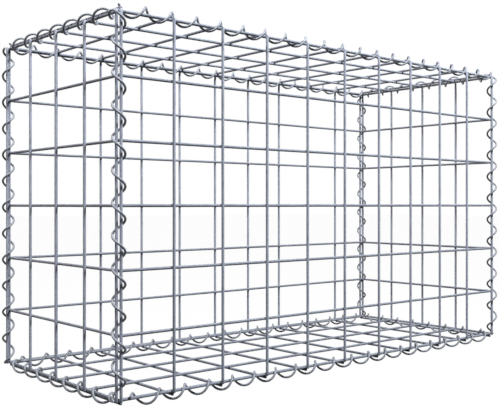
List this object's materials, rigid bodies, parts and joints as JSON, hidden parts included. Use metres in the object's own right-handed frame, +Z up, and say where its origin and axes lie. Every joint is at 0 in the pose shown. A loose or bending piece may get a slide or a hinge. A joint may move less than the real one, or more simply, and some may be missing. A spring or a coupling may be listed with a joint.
{
  "type": "gabion basket",
  "caption": "Empty rectangular gabion basket of welded wire mesh, closed by a mesh lid and laced along every edge with spiral binders; filled with stone it forms a wall block.",
  "frame": {"origin": "centre of the basket's footprint, on the ground under its lowest spirals", "axes": "+X along the basket's length, to the right seen from the front; +Y from front to back; +Z up"},
  "size_m": [1.0268, 0.4282, 0.6273],
  "materials": {
    "mesh_wire": "hot-dip galvanised wire, satin, with a faint spangle",
    "spiral_wire": "hot-dip galvanised wire, satin"
  },
  "bodies": {
    "root": {"front_panel": "mesh_wire", "back_panel": "mesh_wire", "left_end_panel": "mesh_wire", "right_end_panel": "mesh_wire", "base_panel": "mesh_wire", "lid_panel": "mesh_wire", "front_left_post_spiral": "spiral_wire", "front_right_post_spiral": "spiral_wire", "back_left_post_spiral": "spiral_wire", "back_right_post_spiral": "spiral_wire", "base_front_spiral": "spiral_wire", "base_back_spiral": "spiral_wire", "base_left_spiral": "spiral_wire", "base_right_spiral": "spiral_wire", "lid_front_spiral": "spiral_wire", "lid_back_spiral": "spiral_wire", "lid_left_spiral": "spiral_wire", "lid_right_spiral": "spiral_wire"}
  },
  "joints": []
}
